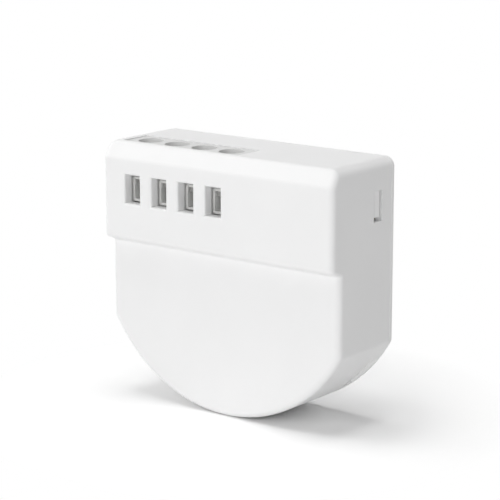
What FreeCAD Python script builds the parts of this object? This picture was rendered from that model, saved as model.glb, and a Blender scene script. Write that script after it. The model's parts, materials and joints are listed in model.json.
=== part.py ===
import FreeCAD, Part
import math
import os

V = FreeCAD.Vector

# Smart switch module for a wall box, in millimetres. +Z is up, the wire entries face -Y, and the origin
# is the bottom centre of the module's box. Every piece is a separate solid in a file of its own.

# Casing
WIDTH = 42.0
HEIGHT = 39.2
DEPTH = 15.2
ARC_RADIUS = 24.2            # lower outline, centred on the module's middle
KINK_RADIUS = 1.3            # where the straight sides meet the arc
TOP_CORNER_RADIUS = 1.5
FRONT_EDGE_RADIUS = 0.95
WALL = 1.2
STEP_DEPTH = 1.9             # the upper block stands this far in front of the lower plate
BLOCK_HEIGHT = 14.4          # the upper block, from its lower front edge to the top
STEP_DROP = 0.8              # the block's underside slopes down by this on its way back
STEP_EDGE_RADIUS = 0.6
STEP_ROOT_RADIUS = 0.4
FACET_HEIGHT = 2.4           # leaning band along the block's top front edge
FACET_LEAN = 1.4
CREASE_RADIUS = 1.1

# Rear cover
COVER_RIM = 0.8
COVER_PLUG = 0.4
COVER_FIT = 0.1
LIP_WALL = 0.9
REAR_EDGE_RADIUS = 0.3
PARTING_CHAMFER = 0.1
SNAP_SLOT_WIDTH = 2.05
SNAP_SLOT_HEIGHT = 4.45
SNAP_SLOT_TO_TOP = 4.35
SNAP_SLOT_TO_BACK = 3.1
SNAP_SIDE_PLAY = 0.05
SNAP_LOW_PLAY = 0.55
SNAP_BARB_LENGTH = 1.4
SNAP_BARB_SINK = 0.15
SNAP_BARB_TAPER = 0.5
PRY_LOW_ANGLE = 37.0
PRY_HIGH_ANGLE = 52.0
PRY_LENGTH = 3.4
PRY_DEPTH = 0.55

# Terminal block
POLES = 4
PITCH = 5.08
FIRST_POLE_TO_SIDE = 5.6
TERMINAL_FRONT_WALL = 1.65   # casing thickness in front of the clamps
WINDOW_WIDTH = 2.84          # inside the rounded front edges
WINDOW_HEIGHT = 4.3
WINDOW_TO_TOP = 4.75
WINDOW_EDGE_RADIUS = 0.38
CUTOUT_FRONT = 2.0           # both measured from the block's front face
CUTOUT_REAR = 7.3
CUTOUT_MARGIN = 3.2          # from the outer poles to the cutout's ends
TERMINAL_PLAY = 0.1
TERMINAL_FRONT_PLAY = 0.05
TERMINAL_RECESS = 0.1
TERMINAL_ABOVE_STEP = 1.8
SCREW_FROM_FRONT = 4.6
SCREW_ACCESS_RADIUS = 1.9
SEAT_THICKNESS = 0.6
SEAT_RADIUS = 1.25

# Wire clamps: the screw turns in place and lifts its cage towards the current bar
CAGE_WIDTH = 3.1
CAGE_LENGTH = 5.0
CAGE_WALL = 0.4
CAGE_ABOVE_SILL = 0.05
CAGE_HEIGHT = 3.75
CAGE_CORNER_RADIUS = 0.4
COLLAR_HEIGHT = 0.35
COLLAR_RADIUS = 1.4
CAGE_TRAVEL = 1.8
WELL_WIDTH = 3.5
WELL_PLAY = 0.1
WELL_BELOW_CAGE = 0.35
BAR_WIDTH = 2.1
BAR_THICKNESS = 0.7
BAR_PLAY = 0.05
BAR_SETBACK = 0.75
BAR_PIN_WIDTH = 1.0
SHANK_RADIUS = 1.1
THREAD_PLAY = 0.04
TIP_PLAY = 0.02
HEAD_RADIUS = 1.7
HEAD_HEIGHT = 1.2
HEAD_PLAY = 0.02
DRIVE_WIDTH = 0.55
DRIVE_LENGTH = 2.6
DRIVE_DEPTH = 0.7

# Main board, upright behind the terminal block
BOARD_THICKNESS = 1.0
BOARD_TO_BACK = 2.2          # from the board's rear face to the back of the module
BOARD_EDGE_PLAY = 0.3
BOARD_SNAP_PLAY = 0.2
PIN_LENGTH = 1.55            # from the board's front face to a pin's tip
PIN_PLAY = 0.05
LEDGE_WIDTH = 1.2
LEDGE_LOW = 14.0
LEDGE_HIGH = 17.0
BOTTOM_RIB_WIDTH = 3.0
BOTTOM_RIB_HIGH = 2.4
SHEET_THICKNESS = 0.2
SHEET_PLAY = 0.2

# Relay
RELAY_GAP = 0.4              # from the terminal block to the relay
RELAY_ARM_GAP = 0.56         # from the relay to the cover's snap arm
RELAY_ABOVE_STEP = 1.95
RELAY_TOP_PLAY = 0.85
RELAY_FRONT_PLAY = 0.7
RELAY_WALL = 0.6
RELAY_BASE_THICKNESS = 1.0
RELAY_END_PLAY = 0.3
IRON_THICKNESS = 0.8
YOKE_SIDE_PLAY = 1.6
YOKE_TOP_PLAY = 0.4
COIL_OFFSET = 0.45           # from the middle of the room under the yoke
COIL_PLAY = 0.4
CORE_RADIUS = 0.95
POLE_TO_POST = 0.2
POLE_THICKNESS = 0.6
BOBBIN_WALL = 0.35
FLANGE_THICKNESS = 0.6
FLANGE_SIDE_PLAY = 1.3
CONTACT_ROOM = 3.3
ARMATURE_GAP = 0.05
ARMATURE_ANGLE = 6.0
ARMATURE_LOW = 2.9
PIVOT_BELOW_TOP = 0.4
ARMATURE_ABOVE_PIVOT = 0.2
BLADE_THICKNESS = 0.15
BLADE_WIDTH = 3.0
BLADE_LOW = 1.5
BLADE_BELOW_PIVOT = 1.3
CONTACT_RADIUS = 0.7
CONTACT_THICKNESS = 0.35
CONTACT_HEIGHT = 2.1
CONTACT_GAP_CLOSED = 0.04
POST_THICKNESS = 0.4
POST_WIDTH = 2.4
SPRING_THICKNESS = 0.15
SPRING_WIDTH = 3.0
SPRING_LENGTH = 5.0
SPRING_PLAY = 0.1
SPRING_TAIL = 0.9
RELAY_PIN = 0.6
COIL_PIN_TO_SIDE = 1.5

# Power parts on the lower board
CAPACITOR_RADIUS = 3.15
CAPACITOR_FRONT_PLAY = 0.9
CAPACITOR_LEAD_SPREAD = 2.5
LOWER_CAPACITOR_X = -11.9
SMALL_CAPACITOR_RADIUS = 2.5
SMALL_CAPACITOR_HEIGHT = 6.0
SMALL_CAPACITOR_LEAD_SPREAD = 2.0
SMALL_CAPACITOR_TO_RADIO = 0.4
LEFT_COLUMN_LOW = 4.5
LEAD_RADIUS = 0.25
LEAD_BEND = 0.5
CAN_GROOVE_HEIGHT = 1.2
CAN_GROOVE = 0.2
CHOKE_RADIUS = 3.5
CHOKE_FRONT_PLAY = 1.4
CHOKE_TO_RADIO = 3.4
CHOKE_FLANGE = 1.0
CHOKE_CORE_RADIUS = 1.5
CHOKE_WINDING_RADIUS = 3.0
CHOKE_LEAD_SPREAD = 4.0
RIGHT_COLUMN_LOW = 8.0
VARISTOR_FRONT_PLAY = 1.2
VARISTOR_BELOW_TERMINAL = 0.5
VARISTOR_THICKNESS = 3.4
VARISTOR_STAND = 0.7
VARISTOR_LEAD_SPREAD = 5.0
FUSE_X = -2.7
FUSE_RADIUS = 1.2
FUSE_LENGTH = 5.6
FUSE_LEAD_SPREAD = 7.6
FILM_WIDTH = 9.0
FILM_HEIGHT = 4.0
FILM_FRONT_PLAY = 1.1
FILM_LEAD_SPREAD = 7.5

# Flat parts soldered to the board's face: width, height and thickness, then the legs on each side
RECTIFIER = (4.8, 3.8, 1.5)
RECTIFIER_LEGS = 2
SUPPLY_CHIP = (4.9, 3.9, 1.5)
SUPPLY_CHIP_LEGS = 4
REGULATOR = (6.5, 3.0, 1.6)
REGULATOR_LEGS = 3
REGULATOR_X = 2.4
OPTOCOUPLER = (4.2, 2.6, 2.0)
OPTOCOUPLER_LEGS = 2
OPTOCOUPLER_X = -4.4
TRANSISTOR = (2.9, 1.4, 1.0)
TRANSISTOR_LEGS = 2
TRANSISTOR_X = 8.2
DIODE = (4.2, 2.4, 2.0)
DIODE_LEGS = 1
DIODE_X = 13.6
CHIP_SIZE = (1.25, 2.0)
CHIP_TO_RADIO = 1.1
CHIP_PITCH = 2.5
CHIP_RESISTOR_COUNT = 4
CHIP_RESISTOR_Z = 7.5
CHIP_CAPACITOR_Z = 12.5
UPPER_CHIPS_X = (2.4, 4.4)
RESISTOR_THICKNESS = 0.5
CAPACITOR_CHIP_THICKNESS = 0.9
LEG_LENGTH = 0.6
LEG_WIDTH = 0.4
LEG_THICKNESS = 0.2

# Radio module
RADIO_WIDTH = 12.0
RADIO_HEIGHT = 10.0
RADIO_LOW = 2.8
RADIO_THICKNESS = 0.8
ANTENNA_STRIP = 3.2
SHIELD_MARGIN = 0.8
SHIELD_THICKNESS = 1.7
SHIELD_WALL = 0.2
RADIO_CHIP = (4.6, 0.8)
CRYSTAL = (2.5, 2.0, 0.6)
ANTENNA_WIDTH = 0.5
ANTENNA_THICKNESS = 0.06
ANTENNA_TURNS = 5


def spread(low, high, sizes):
    """The middles of parts of these sizes, in a row from low to high with even gaps."""
    gap = (high - low - sum(sizes)) / (len(sizes) + 1)
    middles = []
    for size in sizes:
        middles.append(low + gap + size / 2)
        low += gap + size
    return middles


# Places worked out from the sizes above
FRONT = -DEPTH / 2
PLATE_FRONT = FRONT + STEP_DEPTH
BACK = DEPTH / 2
STEP_HEIGHT = HEIGHT - BLOCK_HEIGHT
PARTING = BACK - COVER_RIM
COVER_INSIDE = PARTING - COVER_PLUG
BOARD_REAR = BACK - BOARD_TO_BACK
BOARD_FRONT = BOARD_REAR - BOARD_THICKNESS
PIN_TIP = BOARD_FRONT + PIN_LENGTH
TAIL_LOW = -PIN_LENGTH
INNER_HALF = WIDTH / 2 - WALL
INNER_TOP = HEIGHT - WALL
BLOCK_ROOM = BOARD_FRONT - FRONT - WALL
PLATE_ROOM = BOARD_FRONT - PLATE_FRONT - WALL

# Places in the terminal block
TERMINAL_INNER_FRONT = FRONT + TERMINAL_FRONT_WALL
POLE_X = [FIRST_POLE_TO_SIDE - WIDTH / 2 + i * PITCH for i in range(POLES)]
CUTOUT_LEFT = POLE_X[0] - CUTOUT_MARGIN
CUTOUT_RIGHT = POLE_X[-1] + CUTOUT_MARGIN
WINDOW_HIGH = HEIGHT - WINDOW_TO_TOP
WINDOW_LOW = WINDOW_HIGH - WINDOW_HEIGHT
TERMINAL_LEFT = CUTOUT_LEFT + TERMINAL_PLAY
TERMINAL_RIGHT = CUTOUT_RIGHT - TERMINAL_PLAY
TERMINAL_TOP = HEIGHT - TERMINAL_RECESS
TERMINAL_LOW = STEP_HEIGHT + TERMINAL_ABOVE_STEP
TERMINAL_FRONT = TERMINAL_INNER_FRONT + TERMINAL_FRONT_PLAY
SCREW_Y = FRONT + SCREW_FROM_FRONT
CAGE_LOW = WINDOW_LOW + CAGE_ABOVE_SILL
CAGE_INNER_HIGH = CAGE_LOW + CAGE_HEIGHT - CAGE_WALL
BAR_HIGH = CAGE_INNER_HIGH - BAR_PLAY
BAR_LOW = BAR_HIGH - BAR_THICKNESS
CAGE_TOP = CAGE_LOW + CAGE_HEIGHT + COLLAR_HEIGHT
SEAT_LOW = CAGE_TOP + CAGE_TRAVEL + WELL_PLAY
SEAT_HIGH = SEAT_LOW + SEAT_THICKNESS
WELL_REAR = SCREW_Y + CAGE_LENGTH / 2 + WELL_PLAY
WELL_LOW = CAGE_LOW - WELL_BELOW_CAGE

# Places of the rear cover's snap arms
ARM_OUT = INNER_HALF - COVER_FIT
ARM_IN = ARM_OUT - LIP_WALL
SNAP_SLOT_REAR = BACK - SNAP_SLOT_TO_BACK
SNAP_SLOT_FRONT = SNAP_SLOT_REAR - SNAP_SLOT_WIDTH
SNAP_SLOT_HIGH = HEIGHT - SNAP_SLOT_TO_TOP
SNAP_SLOT_LOW = SNAP_SLOT_HIGH - SNAP_SLOT_HEIGHT
ARM_LOW = SNAP_SLOT_LOW + SNAP_LOW_PLAY
ARM_HIGH = SNAP_SLOT_HIGH - SNAP_SIDE_PLAY

# Places in the relay, which fills the room beside the terminal block
RELAY_LEFT = TERMINAL_RIGHT + RELAY_GAP
RELAY_RIGHT = ARM_IN - RELAY_ARM_GAP
RELAY_LOW = STEP_HEIGHT + RELAY_ABOVE_STEP
RELAY_HIGH = INNER_TOP - RELAY_TOP_PLAY
RELAY_WIDTH = RELAY_HIGH - RELAY_LOW
RELAY_HEIGHT = BLOCK_ROOM - RELAY_FRONT_PLAY
RELAY_MID = (RELAY_LOW + RELAY_HIGH) / 2
YOKE_WIDTH = RELAY_WIDTH - 2 * (RELAY_WALL + YOKE_SIDE_PLAY)
YOKE_TOP = RELAY_HEIGHT - RELAY_WALL - YOKE_TOP_PLAY
YOKE_LEFT = RELAY_LEFT + RELAY_WALL + RELAY_END_PLAY
COIL_AXIS = (RELAY_BASE_THICKNESS + YOKE_TOP - IRON_THICKNESS) / 2 + COIL_OFFSET
COIL_RADIUS = YOKE_TOP - IRON_THICKNESS - COIL_AXIS - COIL_PLAY
POLE_RADIUS = COIL_AXIS - CONTACT_HEIGHT - CONTACT_RADIUS - POLE_TO_POST
COIL_PIN_SPREAD = RELAY_WIDTH - 2 * COIL_PIN_TO_SIDE
FLANGE_WIDTH = RELAY_WIDTH - 2 * (RELAY_WALL + FLANGE_SIDE_PLAY)
ARMATURE_LEFT = RELAY_RIGHT - RELAY_WALL - CONTACT_ROOM
POLE_FACE = ARMATURE_LEFT - ARMATURE_GAP
BOBBIN_LEFT = YOKE_LEFT + IRON_THICKNESS
BOBBIN_RIGHT = POLE_FACE - POLE_THICKNESS
PIVOT_HEIGHT = YOKE_TOP - PIVOT_BELOW_TOP
BLADE_HIGH = PIVOT_HEIGHT - BLADE_BELOW_PIVOT
FIXED_CONTACT_RIGHT = ARMATURE_LEFT + IRON_THICKNESS - CONTACT_THICKNESS - CONTACT_GAP_CLOSED
POST_RIGHT = FIXED_CONTACT_RIGHT - CONTACT_THICKNESS

# Places on the lower board: rows across it, and columns up to the terminal block or the relay
CAPACITOR_HEIGHT = PLATE_ROOM - CAPACITOR_FRONT_PLAY
CHOKE_HEIGHT = PLATE_ROOM - CHOKE_FRONT_PLAY
VARISTOR_RADIUS = (PLATE_ROOM - VARISTOR_STAND - VARISTOR_FRONT_PLAY) / 2
CAPACITOR_WIDTH = 2 * CAPACITOR_RADIUS
ROW_SIZES = (VARISTOR_THICKNESS, CAPACITOR_WIDTH, RECTIFIER[0], SUPPLY_CHIP[0], FILM_WIDTH)
ROW_X = spread(-INNER_HALF, INNER_HALF, ROW_SIZES)
VARISTOR_X, UPPER_CAPACITOR_X, RECTIFIER_X, SUPPLY_CHIP_X, FILM_X = ROW_X
LEFT_SIZES = (2 * SMALL_CAPACITOR_RADIUS, CAPACITOR_WIDTH, CAPACITOR_WIDTH)
SMALL_CAPACITOR_Z, LOWER_CAPACITOR_Z, UPPER_CAPACITOR_Z = spread(LEFT_COLUMN_LOW, TERMINAL_LOW, LEFT_SIZES)
MIDDLE_SIZES = (REGULATOR[1], SUPPLY_CHIP[1], 2 * FUSE_RADIUS)
REGULATOR_Z, SUPPLY_CHIP_Z, FUSE_Z = spread(RADIO_LOW + RADIO_HEIGHT, TERMINAL_LOW, MIDDLE_SIZES)
RIGHT_SIZES = (2 * CHOKE_RADIUS, FILM_HEIGHT, DIODE[1])
CHOKE_Z, FILM_Z, DIODE_Z = spread(RIGHT_COLUMN_LOW, RELAY_LOW, RIGHT_SIZES)
CAPACITOR_PLACES = ((LOWER_CAPACITOR_X, LOWER_CAPACITOR_Z), (UPPER_CAPACITOR_X, UPPER_CAPACITOR_Z))
SMALL_CAPACITOR_X = -RADIO_WIDTH / 2 - SMALL_CAPACITOR_TO_RADIO - SMALL_CAPACITOR_RADIUS
SMALL_CAPACITOR_PLACE = (SMALL_CAPACITOR_X, SMALL_CAPACITOR_Z)
CHOKE_PLACE = (RADIO_WIDTH / 2 + CHOKE_TO_RADIO + CHOKE_RADIUS, CHOKE_Z)
VARISTOR_PLACE = (VARISTOR_X, TERMINAL_LOW - VARISTOR_BELOW_TERMINAL - VARISTOR_RADIUS)
FUSE_PLACE = (FUSE_X, FUSE_Z)
FILM_PLACE = (FILM_X, FILM_Z)
CHIP_X = RADIO_WIDTH / 2 + CHIP_TO_RADIO + CHIP_SIZE[0] / 2
CHIP_RESISTORS = [(CHIP_X, CHIP_RESISTOR_Z + i * CHIP_PITCH) for i in range(CHIP_RESISTOR_COUNT)]
CHIP_CAPACITORS = [(-CHIP_X, CHIP_CAPACITOR_Z), (-CHIP_X, CHIP_CAPACITOR_Z + CHIP_PITCH)]
CHIP_CAPACITORS += [(x, FUSE_Z) for x in UPPER_CHIPS_X]


def box(x0, x1, y0, y1, z0, z1):
    return Part.makeBox(x1 - x0, y1 - y0, z1 - z0, V(x0, y0, z0))


def rod(x, y, z, radius, length, direction):
    return Part.makeCylinder(radius, length, V(x, y, z), V(*direction))


def above_board(height):
    """The Y of a point that stands this high on the board's front face."""
    return BOARD_FRONT - height


def on_board(x, z, width, height, low, high):
    """A block on the board: width across, height up, from low to high above the board's face."""
    y0 = above_board(high)
    y1 = above_board(low)
    return box(x - width / 2, x + width / 2, y0, y1, z - height / 2, z + height / 2)


def board_rod(x, z, radius, low, high):
    return rod(x, above_board(high), z, radius, high - low, (0, 1, 0))


def prism_yz(points, x0, x1):
    """A shape of straight (y, z) points carried along X."""
    wire = Part.makePolygon([V(x0, y, z) for y, z in points + points[:1]])
    return Part.Face(wire).extrude(V(x1 - x0, 0, 0))


def prism_xy(points, z0, z1):
    wire = Part.makePolygon([V(x, y, z0) for x, y in points + points[:1]])
    return Part.Face(wire).extrude(V(0, 0, z1 - z0))


def outline(inset, y0, y1):
    """The module's outline drawn in by inset, from y0 to y1: flat top, straight sides and an arc below."""
    half = WIDTH / 2 - inset
    top = HEIGHT - inset
    radius = ARC_RADIUS - inset
    corner = max(TOP_CORNER_RADIUS - inset, KINK_RADIUS / 2)
    kink = KINK_RADIUS
    kink_z = ARC_RADIUS - math.sqrt((radius - kink) ** 2 - (half - kink) ** 2)
    reach = radius / (radius - kink)
    touch = ((half - kink) * reach, ARC_RADIUS + (kink_z - ARC_RADIUS) * reach)
    turn = math.atan2(touch[0], ARC_RADIUS - touch[1])
    half_swing = (math.pi / 2 - turn) / 2
    kink_mid = (half - kink + kink * math.cos(half_swing), kink_z - kink * math.sin(half_swing))
    corner_mid = (half - corner + corner * math.sqrt(0.5), top - corner + corner * math.sqrt(0.5))

    def point(x, z):
        return V(x, y0, z)

    right = [
        Part.LineSegment(point(0, top), point(half - corner, top)),
        Part.Arc(point(half - corner, top), point(*corner_mid), point(half, top - corner)),
        Part.LineSegment(point(half, top - corner), point(half, kink_z)),
        Part.Arc(point(half, kink_z), point(*kink_mid), point(*touch)),
    ]
    arc = Part.Arc(point(*touch), point(0, ARC_RADIUS - radius), point(-touch[0], touch[1]))
    left = [
        Part.Arc(point(-touch[0], touch[1]), point(-kink_mid[0], kink_mid[1]), point(-half, kink_z)),
        Part.LineSegment(point(-half, kink_z), point(-half, top - corner)),
        Part.Arc(point(-half, top - corner), point(-corner_mid[0], corner_mid[1]), point(corner - half, top)),
        Part.LineSegment(point(corner - half, top), point(0, top)),
    ]
    wire = Part.Wire([curve.toShape() for curve in right + [arc] + left])
    return Part.Face(wire).extrude(V(0, y1 - y0, 0)).removeSplitter()


def block_profile(inset):
    """The upper block from the side, drawn in by inset: underside, front, leaning facet, top and back."""
    back = PLATE_FRONT + 3 * WALL
    slope = STEP_DROP / STEP_DEPTH
    corners = [
        (FRONT, STEP_HEIGHT),
        (FRONT, HEIGHT - FACET_HEIGHT),
        (FRONT + FACET_LEAN, HEIGHT),
        (back, HEIGHT),
        (back, STEP_HEIGHT - slope * (back - FRONT)),
    ]
    sides = []
    for (y0, z0), (y1, z1) in zip(corners, corners[1:] + corners[:1]):
        length = math.hypot(y1 - y0, z1 - z0)
        along = ((y1 - y0) / length, (z1 - z0) / length)
        inward = (along[1], -along[0])
        sides.append((y0 + inward[0] * inset, z0 + inward[1] * inset, along[0], along[1]))
    points = []
    for (y0, z0, a, b), (y1, z1, c, d) in zip(sides[-1:] + sides[:-1], sides):
        share = ((y1 - y0) * d - (z1 - z0) * c) / (a * d - b * c)
        points.append((y0 + a * share, z0 + b * share))
    return points


def edges_where(shape, test):
    """The edges whose every point passes the test."""
    edges = [edge for edge in shape.Edges if not edge.Degenerated]
    return [edge for edge in edges if all(test(p) for p in edge.discretize(5))]


def near(value, target):
    return abs(value - target) < 1e-4


def upper_block():
    half = WIDTH / 2
    back = PLATE_FRONT + 3 * WALL
    block = prism_yz(block_profile(0), -half, half).common(outline(0, FRONT, back + WALL))
    crease = edges_where(block, lambda p: near(p.y, FRONT) and near(p.z, HEIGHT - FACET_HEIGHT))
    block = block.makeFillet(CREASE_RADIUS, crease)

    def on_facet(p):
        return near((p.y - FRONT) * FACET_HEIGHT, FACET_LEAN * (p.z - HEIGHT + FACET_HEIGHT))

    def on_rim(p):
        round_part = HEIGHT - FACET_HEIGHT - CREASE_RADIUS < p.z < HEIGHT - FACET_HEIGHT + CREASE_RADIUS
        return near(p.y, FRONT) or on_facet(p) or round_part

    def on_sides(p):
        return near(abs(p.x), half)

    def front_rim(p):
        side = on_sides(p) and on_rim(p)
        top = p.z > HEIGHT - TOP_CORNER_RADIUS - 1e-4 and on_facet(p)
        return side or top

    block = block.makeFillet(FRONT_EDGE_RADIUS, edges_where(block, front_rim))
    slope = STEP_DROP / STEP_DEPTH

    def on_underside(p):
        return near(p.z, STEP_HEIGHT - slope * (p.y - FRONT))

    rear_edges = edges_where(block, lambda p: near(p.y, back))
    lower = edges_where(block, on_underside)
    rounded = [edge for edge in lower if not any(edge.isSame(other) for other in rear_edges)]
    return block.makeFillet(STEP_EDGE_RADIUS, rounded)


def lower_plate():
    plate = outline(0, PLATE_FRONT, PARTING)
    return plate.makeFillet(FRONT_EDGE_RADIUS, edges_where(plate, lambda p: near(p.y, PLATE_FRONT)))


def pry_recess(side):
    """A shallow flat-floored notch in the casing's arc beside the cover's rim, for prising the cover off."""
    middle = math.radians((PRY_LOW_ANGLE + PRY_HIGH_ANGLE) / 2)
    half_width = ARC_RADIUS * math.sin(math.radians((PRY_HIGH_ANGLE - PRY_LOW_ANGLE) / 2))
    floor = PRY_DEPTH - ARC_RADIUS
    tool = box(-half_width, half_width, BACK - PRY_LENGTH, BACK + WALL, -ARC_RADIUS - WALL, floor)
    tool.rotate(V(0, 0, 0), V(0, -1, 0), side * math.degrees(middle))
    tool.translate(V(0, 0, ARC_RADIUS))
    return tool


def wire_window(x):
    """A wire entry through the casing."""
    half = WINDOW_WIDTH / 2
    return box(x - half, x + half, FRONT - WALL, TERMINAL_INNER_FRONT + WALL, WINDOW_LOW, WINDOW_HIGH)


def on_window_rim(p):
    """Whether a point lies on the front edge of one of the wire entries."""
    beside = min(abs(p.x - x) for x in POLE_X) < WINDOW_WIDTH / 2 + 1e-4
    return near(p.y, FRONT) and beside and WINDOW_LOW - 1e-4 < p.z < WINDOW_HIGH + 1e-4


def snap_slot(side):
    x = side * WIDTH / 2
    return box(x - WALL, x + WALL, SNAP_SLOT_FRONT, SNAP_SLOT_REAR, SNAP_SLOT_LOW, SNAP_SLOT_HIGH)


def front_housing():
    body = upper_block().fuse(lower_plate()).removeSplitter()
    root_low = STEP_HEIGHT - 2 * STEP_DEPTH
    root = edges_where(body, lambda p: near(p.y, PLATE_FRONT) and root_low < p.z < STEP_HEIGHT)
    body = body.makeFillet(STEP_ROOT_RADIUS, root)
    rear_edge = edges_where(body, lambda p: near(p.y, PARTING))
    body = body.makeChamfer(PARTING_CHAMFER, rear_edge)
    ledge_in = INNER_HALF - LEDGE_WIDTH
    cavity = outline(WALL, PLATE_FRONT + WALL, BACK)
    ledges = [
        box(ledge_in, WIDTH, FRONT, BOARD_FRONT, LEDGE_LOW, LEDGE_HIGH),
        box(-WIDTH, -ledge_in, FRONT, BOARD_FRONT, LEDGE_LOW, LEDGE_HIGH),
        box(-BOTTOM_RIB_WIDTH / 2, BOTTOM_RIB_WIDTH / 2, FRONT, BOARD_FRONT, -WALL, BOTTOM_RIB_HIGH),
    ]
    relay_bay = prism_yz(block_profile(WALL), CUTOUT_RIGHT + TERMINAL_PLAY, INNER_HALF)
    bay_low = TERMINAL_LOW - TERMINAL_PLAY
    terminal_bay = box(CUTOUT_LEFT, CUTOUT_RIGHT, TERMINAL_INNER_FRONT, BACK, bay_low, INNER_TOP)
    cutout_front = FRONT + CUTOUT_FRONT
    cutout_rear = FRONT + CUTOUT_REAR
    cutout = box(CUTOUT_LEFT, CUTOUT_RIGHT, cutout_front, cutout_rear, INNER_TOP - WALL, HEIGHT + WALL)
    body = body.cut(cavity.cut(Part.makeCompound(ledges)))
    body = body.cut(relay_bay).cut(terminal_bay.cut(Part.makeCompound(ledges))).cut(cutout)
    for x in POLE_X:
        body = body.cut(wire_window(x))
    body = body.makeFillet(WINDOW_EDGE_RADIUS, edges_where(body, on_window_rim))
    for side in (-1, 1):
        body = body.cut(snap_slot(side)).cut(pry_recess(side))
    return body


def snap_arm(side):
    """A springy arm of the cover, with a barb that catches behind the slot in the casing's side."""
    barb_tip = WIDTH / 2 - SNAP_BARB_SINK
    catch = SNAP_SLOT_REAR - SNAP_LOW_PLAY
    start = catch - SNAP_BARB_LENGTH
    arm = box(ARM_IN, ARM_OUT, start, COVER_INSIDE, ARM_LOW, ARM_HIGH)
    barb = prism_xy([
        (ARM_OUT, start),
        (barb_tip - SNAP_BARB_TAPER, start),
        (barb_tip, catch),
        (ARM_OUT, catch),
    ], ARM_LOW, ARM_HIGH)
    shape = arm.fuse(barb).removeSplitter()
    return shape if side > 0 else shape.mirror(V(0, 0, 0), V(1, 0, 0))


def rear_cover():
    rim = outline(0, PARTING, BACK)
    rim = rim.makeFillet(REAR_EDGE_RADIUS, edges_where(rim, lambda p: near(p.y, BACK)))
    rim = rim.makeChamfer(PARTING_CHAMFER, edges_where(rim, lambda p: near(p.y, PARTING)))
    plug = outline(WALL + COVER_FIT, COVER_INSIDE, PARTING)
    lip = outline(WALL + COVER_FIT, BOARD_REAR, COVER_INSIDE)
    lip = lip.cut(outline(WALL + COVER_FIT + LIP_WALL, BOARD_REAR - WALL, COVER_INSIDE))
    return rim.fuse([plug, lip, snap_arm(1), snap_arm(-1)]).removeSplitter()


def insulation_sheet():
    inset = WALL + COVER_FIT + LIP_WALL + SHEET_PLAY
    return outline(inset, COVER_INSIDE - SHEET_THICKNESS, COVER_INSIDE)


def terminal_body():
    body = box(TERMINAL_LEFT, TERMINAL_RIGHT, TERMINAL_FRONT, BOARD_FRONT, TERMINAL_LOW, INNER_TOP)
    riser_rear = FRONT + CUTOUT_REAR - TERMINAL_PLAY
    riser_front = FRONT + CUTOUT_FRONT + TERMINAL_FRONT_PLAY
    riser = box(TERMINAL_LEFT, TERMINAL_RIGHT, riser_front, riser_rear, INNER_TOP, TERMINAL_TOP)
    body = body.fuse(riser).removeSplitter()
    slot_half = BAR_WIDTH / 2 + BAR_PLAY
    well_half = WELL_WIDTH / 2
    for x in POLE_X:
        well = box(x - well_half, x + well_half, FRONT, WELL_REAR, WELL_LOW, SEAT_LOW)
        bar_slot = box(x - slot_half, x + slot_half, FRONT, BACK, BAR_LOW, BAR_HIGH + BAR_PLAY)
        access = rod(x, SCREW_Y, SEAT_HIGH, SCREW_ACCESS_RADIUS, HEIGHT, (0, 0, 1))
        shank_hole = rod(x, SCREW_Y, BAR_HIGH, SEAT_RADIUS, HEIGHT - BAR_HIGH, (0, 0, 1))
        body = body.cut(Part.makeCompound([well.fuse([bar_slot, access, shank_hole])]))
    return body


def current_bar(x):
    """The fixed bar that a wire is squeezed against, with its pin through the board."""
    half = BAR_WIDTH / 2
    pin = BAR_PIN_WIDTH / 2
    blade = box(x - half, x + half, TERMINAL_FRONT + BAR_SETBACK, BOARD_FRONT, BAR_LOW, BAR_HIGH)
    tail = box(x - pin, x + pin, BOARD_FRONT, PIN_TIP, BAR_LOW, BAR_HIGH)
    return blade.fuse(tail).removeSplitter()


def clamp_cage(x):
    """A rounded sheet ring round the bar, with a threaded collar on top for the screw."""
    half = CAGE_WIDTH / 2
    front = SCREW_Y - CAGE_LENGTH / 2
    rear = SCREW_Y + CAGE_LENGTH / 2
    high = CAGE_LOW + CAGE_HEIGHT
    ring = box(x - half, x + half, front, rear, CAGE_LOW, high)
    ring = ring.makeFillet(CAGE_CORNER_RADIUS, edges_where(ring, lambda p: near(abs(p.x - x), half)
                                                           and (near(p.z, CAGE_LOW) or near(p.z, high))))
    inner_half = half - CAGE_WALL
    inner = box(x - inner_half, x + inner_half, FRONT, BACK, CAGE_LOW + CAGE_WALL, high - CAGE_WALL)
    collar = rod(x, SCREW_Y, high - CAGE_WALL, COLLAR_RADIUS, CAGE_WALL + COLLAR_HEIGHT, (0, 0, 1))
    thread = rod(x, SCREW_Y, BAR_LOW, SHANK_RADIUS + THREAD_PLAY, HEIGHT, (0, 0, 1))
    return ring.cut(inner).fuse(collar).removeSplitter().cut(thread)


def clamp_screw(x):
    """A headed screw with a crossed drive, standing on its seat with its tip just above the bar."""
    head_low = SEAT_HIGH + HEAD_PLAY
    tip = BAR_HIGH + TIP_PLAY
    head = rod(x, SCREW_Y, head_low, HEAD_RADIUS, HEAD_HEIGHT, (0, 0, 1))
    shank = rod(x, SCREW_Y, tip, SHANK_RADIUS, head_low - tip, (0, 0, 1))
    top = head_low + HEAD_HEIGHT
    drive = [
        box(x - a / 2, x + a / 2, SCREW_Y - b / 2, SCREW_Y + b / 2, top - DRIVE_DEPTH, top + WALL)
        for a, b in ((DRIVE_LENGTH, DRIVE_WIDTH), (DRIVE_WIDTH, DRIVE_LENGTH))
    ]
    return head.fuse(shank).removeSplitter().cut(drive[0].fuse(drive[1]))


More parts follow.
